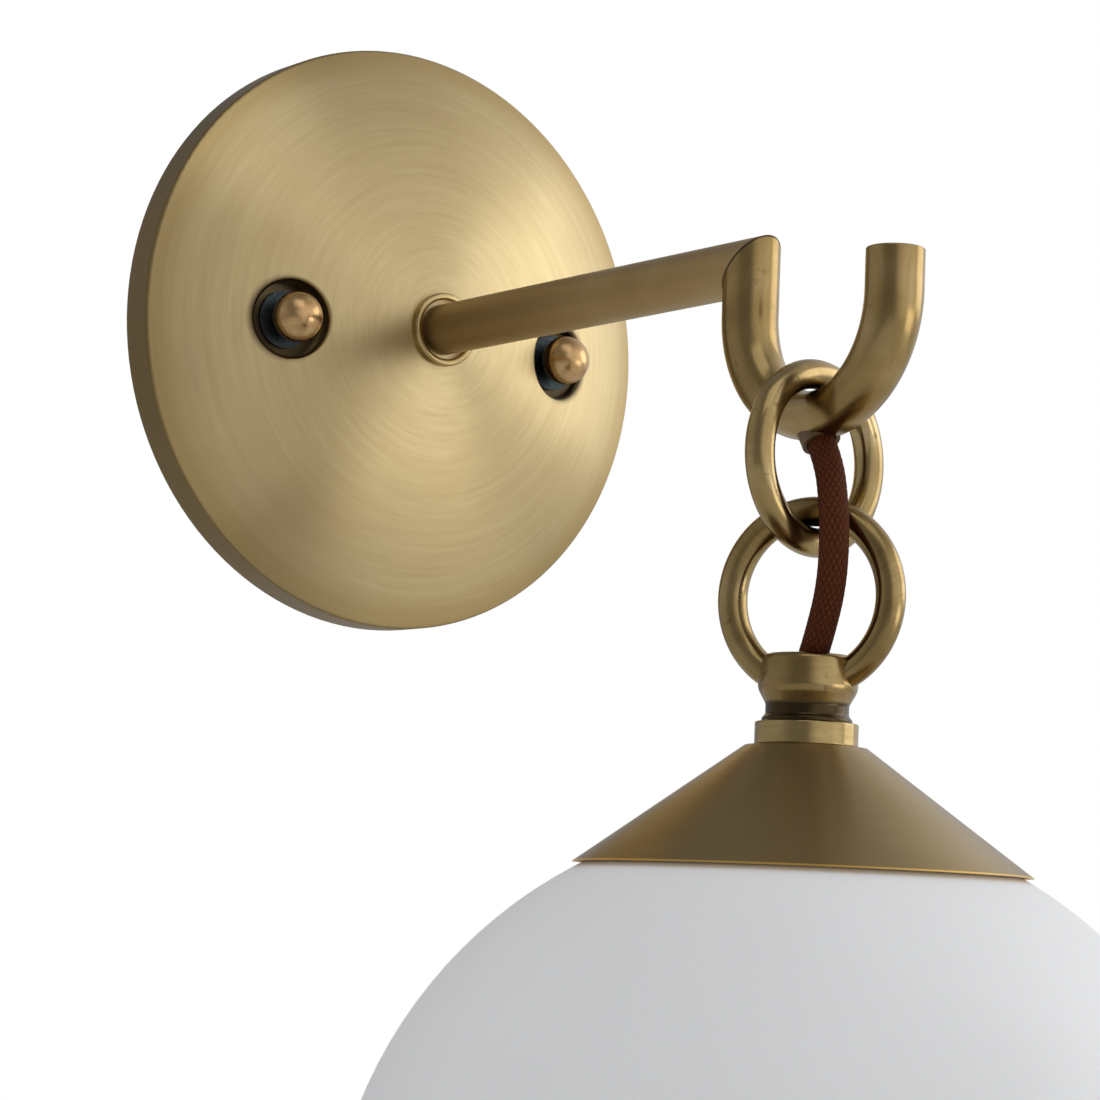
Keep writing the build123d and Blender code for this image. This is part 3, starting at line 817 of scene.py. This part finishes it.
@dataclass
class Chain:
    """Closed upper link and cast loop."""

    axis_y_mm: float = HANGING_Y_MM
    wire_mm: float = 6.6
    neck_mm: float = -103.0

    def build(self) -> None:
        """Dresses the link and the casting."""
        around = Grain(Axis.UPRIGHT, (0.0, self.axis_y_mm, 0.0), 0.9, 8.0, 18.0)
        link_low, link_high = (corner[2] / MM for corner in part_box("upper_link"))
        # Patina and painted shade where the hook and the cast loop touch the link, and where the link sits in
        # the loop.
        hook_contact_shade = ShadeAndPatinaSpot((0.0, self.axis_y_mm, link_high - self.wire_mm), 1.6, 3.6, 0.75)
        loop_seat_shade = ShadeAndPatinaSpot((0.0, self.axis_y_mm, link_low + self.wire_mm), 1.8, 4.2, 0.8)
        link = PatinaBrass("brass_ring_brazed_hand_brushed_patina", "#8A744A", "#9F895E", "#B4A078", around,
                           roughness=0.21, anisotropy=0.1, grain_share=0.25, blotch_mm=11.0,
                           grain_height_mm=0.006, speck_depth=0.4, shade_and_patina_spots=(hook_contact_shade, loop_seat_shade))
        dress("upper_link", link.build())
        # Patina and painted shade in the groove of the casting's neck.
        neck_shade = JointOrPaintedLightLine((0.0, self.axis_y_mm, self.neck_mm), (0.0, 0.0, 1.0), 1.9, 0.9, 0.88)
        cast = PatinaBrass("brass_cast_hand_brushed_patina", "#7C6740", "#8E784E", "#A18C62", around,
                           roughness=0.22, anisotropy=0.1, grain_share=0.3, blotch_mm=12.0,
                           grain_height_mm=0.006, speck_depth=0.3, shade_and_patina_spots=(loop_seat_shade,), joint_and_painted_light_lines=(neck_shade,))
        dress("loop_casting", cast.build())


@dataclass
class ConeCap:
    """Check collar, cone and the spring behind them."""

    axis_y_mm: float = HANGING_Y_MM

    def build(self) -> None:
        """Dresses the turned pieces over the globe."""
        turned = Grain(Axis.UPRIGHT, (0.0, self.axis_y_mm, 0.0), 0.8, 18.0, 35.0)
        rim = (0.0, self.axis_y_mm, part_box("cone_cap")[0][2] / MM)
        # Painted highlight: a bright line round the cone's bottom edge, a painted reflection of the globe in
        # the rim bevel.
        painted_rim_glint = JointOrPaintedLightLine(rim, (0.0, 0.0, 1.0), 0.25, 0.25, 0.9, "#F0C468")
        cone = PatinaBrass("brass_spun_lathe_brushed_patina_brown", "#8C7750", "#958059", "#9E8963", turned,
                           roughness=0.33, anisotropy=0.6, grain_share=0.4, grain_height_mm=0.006,
                           blotch_mm=40.0, joint_and_painted_light_lines=(painted_rim_glint,))
        dress("cone_cap", cone.build())
        collar = PatinaBrass("brass_turned_lathe_brushed_patina", "#8C774C", "#9A8559", "#A89468", turned,
                             roughness=0.18, anisotropy=0.2, grain_share=0.5, blotch_mm=20.0)
        dress("check_collar", collar.build())
        dress("globe_spring", PlainMetal("spring_steel_rolled_strip", "#5C5D60", "#77797C", 0.4).build())


@dataclass
class LampHolder:
    """Holder cap, body, screw shell and the leads above it."""

    def build(self) -> None:
        """Dresses the lamp holder."""
        black = Moulded("phenolic_moulded_black", "#101010", "#191918", 0.42, 1.6).build()
        dress("holder_cap", black)
        dress("holder_body", black)
        dress("screw_shell", PlainMetal("brass_pressed_nickel_plated", "#A9A59A", "#C2BFB4", 0.28).build())
        dress("pendant_leads", Moulded("silicone_lead_sleeve_pale", "#C6C2B6", "#D2CFC5", 0.55).build())


@dataclass
class Globe:
    """Opal ball and the rubber ring between it and the cone."""

    def build(self) -> None:
        """Dresses the globe."""
        dress("glass_globe", OpalGlass().build())
        dress("globe_seal", Moulded("silicone_rubber_moulded_grey", "#8F8F8B", "#9C9C98", 0.7, 1.41).build())


@dataclass(frozen=True)
class SoftBox:
    """One large soft lamp, placed by the direction that it comes from."""

    name: str
    toward: Point
    distance: float
    size: float
    power: float
    tint: str = "#FFFFFF"

    def build(self, target: Vector) -> None:
        """Makes the lamp and aims it.

        Args:
            target: Point that the lamp faces, in metres.
        """
        data = bpy.data.lights.new(self.name, "AREA")
        data.shape = "SQUARE"
        data.size = self.size
        data.energy = self.power
        data.color = linear(self.tint)[:3]
        lamp = bpy.data.objects.new(self.name, data)
        heading = Vector(self.toward).normalized()
        lamp.location = target + heading * self.distance
        lamp.rotation_mode = "QUATERNION"
        lamp.rotation_quaternion = heading.to_track_quat("Z", "Y")
        bpy.context.scene.collection.objects.link(lamp)
        log.info("lamp %s", self.name)


@dataclass(frozen=True)
class Glow:
    """Soft bright region of the surroundings, as metal sees it."""

    toward: Point
    edge: float
    strength: float


@dataclass
class Studio:
    """Pale floor, white surroundings, soft lamps and the camera."""

    target: Vector = field(default_factory=lambda: Vector((0.0, -0.09, -0.08)))
    floor_height: float = -0.42
    floor_half: float = 1.6
    fill: float = 0.64
    dim: float = 0.3
    glows: tuple[Glow, ...] = (
        Glow((0.88, -0.3, 0.37), 0.5, 0.6),
        Glow((0.08, -0.95, 0.26), 0.66, 0.78),
        Glow((0.45, -0.6, -0.66), 0.55, 0.5),
        Glow((0.85, 0.4, 0.35), 0.65, 0.25),
        Glow((-0.7, 0.65, 0.1), 0.5, 0.25),
    )
    lamps: tuple[SoftBox, ...] = (
        SoftBox("soft_box_right", (0.87, -0.38, 0.32), 1.3, 0.8, 3.8),
        SoftBox("soft_box_low", (0.55, -0.8, -0.3), 1.3, 0.7, 3.2),
        SoftBox("soft_box_top", (-0.25, -0.45, 0.9), 1.4, 0.9, 2.0),
    )
    camera_place: Point = (-0.488915, -0.747065, -0.152156)
    camera_yaw: float = 36.244
    camera_pitch: float = 6.333
    camera_roll: float = 2.354
    camera_lens: float = 111.637
    camera_sensor: float = 36.0
    camera_clip: tuple[float, float] = (0.01, 20.0)

    def mirrored_level(self, tree: bpy.types.NodeTree) -> bpy.types.NodeSocket:
        """Adds up the glows that polished and brushed metal mirrors.

        Args:
            tree: Node tree of the world.

        Returns:
            The brightness in each direction.
        """
        heading = add_node(tree, "ShaderNodeTexCoord").outputs["Generated"]
        level = self.dim
        for glow in self.glows:
            facing = add_node(tree, "ShaderNodeVectorMath", {"operation": "DOT_PRODUCT"},
                              {0: heading, 1: Vector(glow.toward).normalized()})
            grade = add_node(tree, "ShaderNodeMapRange", {"interpolation_type": "SMOOTHSTEP"},
                             {"Value": facing.outputs["Value"], "From Min": glow.edge, "From Max": 1.0,
                              "To Min": 0.0, "To Max": glow.strength})
            level = add_node(tree, "ShaderNodeMath", {"operation": "ADD"},
                             {0: level, 1: grade.outputs[0]}).outputs[0]
        return level

    def build_world(self) -> None:
        """Makes surroundings that are white to the camera and softly graded in the metal."""
        world = bpy.data.worlds.new("studio")
        bpy.context.scene.world = world
        world.use_nodes = True
        tree = world.node_tree
        tree.nodes.clear()
        ray = add_node(tree, "ShaderNodeLightPath")
        white = (1.0, 1.0, 1.0, 1.0)
        fill = add_node(tree, "ShaderNodeBackground", None, {"Color": white, "Strength": self.fill})
        seen = add_node(tree, "ShaderNodeBackground", None, {"Color": white, "Strength": 1.0})
        mirrored = add_node(tree, "ShaderNodeBackground", None,
                            {"Color": white, "Strength": self.mirrored_level(tree)})
        in_metal = add_node(tree, "ShaderNodeMixShader", None,
                            {0: ray.outputs["Is Glossy Ray"], 1: fill.outputs[0], 2: mirrored.outputs[0]})
        direct = add_node(tree, "ShaderNodeMath", {"operation": "MAXIMUM"},
                          {0: ray.outputs["Is Camera Ray"], 1: ray.outputs["Is Transmission Ray"]})
        both = add_node(tree, "ShaderNodeMixShader", None,
                        {0: direct.outputs[0], 1: in_metal.outputs[0], 2: seen.outputs[0]})
        add_node(tree, "ShaderNodeOutputWorld", None, {"Surface": both.outputs[0]})

    def build_floor(self) -> None:
        """Makes the pale floor below the lamp."""
        mesh = bpy.data.meshes.new("floor")
        corners = [(x * self.floor_half, y * self.floor_half, self.floor_height)
                   for x, y in ((-1, -1), (1, -1), (1, 1), (-1, 1))]
        mesh.from_pydata(corners, [], [(0, 1, 2, 3)])
        material = bpy.data.materials.new("paper_matt_white")
        material.use_nodes = True
        shader = material.node_tree.nodes["Principled BSDF"]
        shader.inputs["Base Color"].default_value = linear("#EDEDEB")
        shader.inputs["Roughness"].default_value = 0.9
        mesh.materials.append(material)
        floor = bpy.data.objects.new("floor", mesh)
        bpy.context.scene.collection.objects.link(floor)

    def build_camera(self) -> None:
        """Makes the camera at the photograph's place and turn."""
        data = bpy.data.cameras.new("camera")
        data.sensor_width = self.camera_sensor
        data.lens = self.camera_lens
        data.clip_start, data.clip_end = self.camera_clip
        camera = bpy.data.objects.new("camera", data)
        yaw, pitch, roll = (math.radians(angle) for angle in
                            (self.camera_yaw, self.camera_pitch, self.camera_roll))
        ahead = Vector((math.sin(yaw) * math.cos(pitch), math.cos(yaw) * math.cos(pitch), math.sin(pitch)))
        level = Vector((math.cos(yaw), -math.sin(yaw), 0.0))
        above = level.cross(ahead)
        right = level * math.cos(roll) + above * math.sin(roll)
        up = above * math.cos(roll) - level * math.sin(roll)
        turn = Matrix((right, up, -ahead)).transposed().to_4x4()
        camera.matrix_world = Matrix.Translation(self.camera_place) @ turn
        bpy.context.scene.collection.objects.link(camera)
        bpy.context.scene.camera = camera

    def build(self) -> None:
        """Makes the whole studio."""
        self.build_world()
        self.build_floor()
        self.build_camera()
        for lamp in self.lamps:
            lamp.build(self.target)
        bpy.context.scene.view_settings.view_transform = "Standard"


def main() -> None:
    """Builds and dresses the lamp, then the studio round it."""
    parts = (WallPlate(), ArmAndHook(), BraidedCord(), Chain(), ConeCap(), LampHolder(), Globe(), Studio())
    for part in parts:
        part.build()
        log.info("%s done", type(part).__name__)


if __name__ == "__main__":
    main()
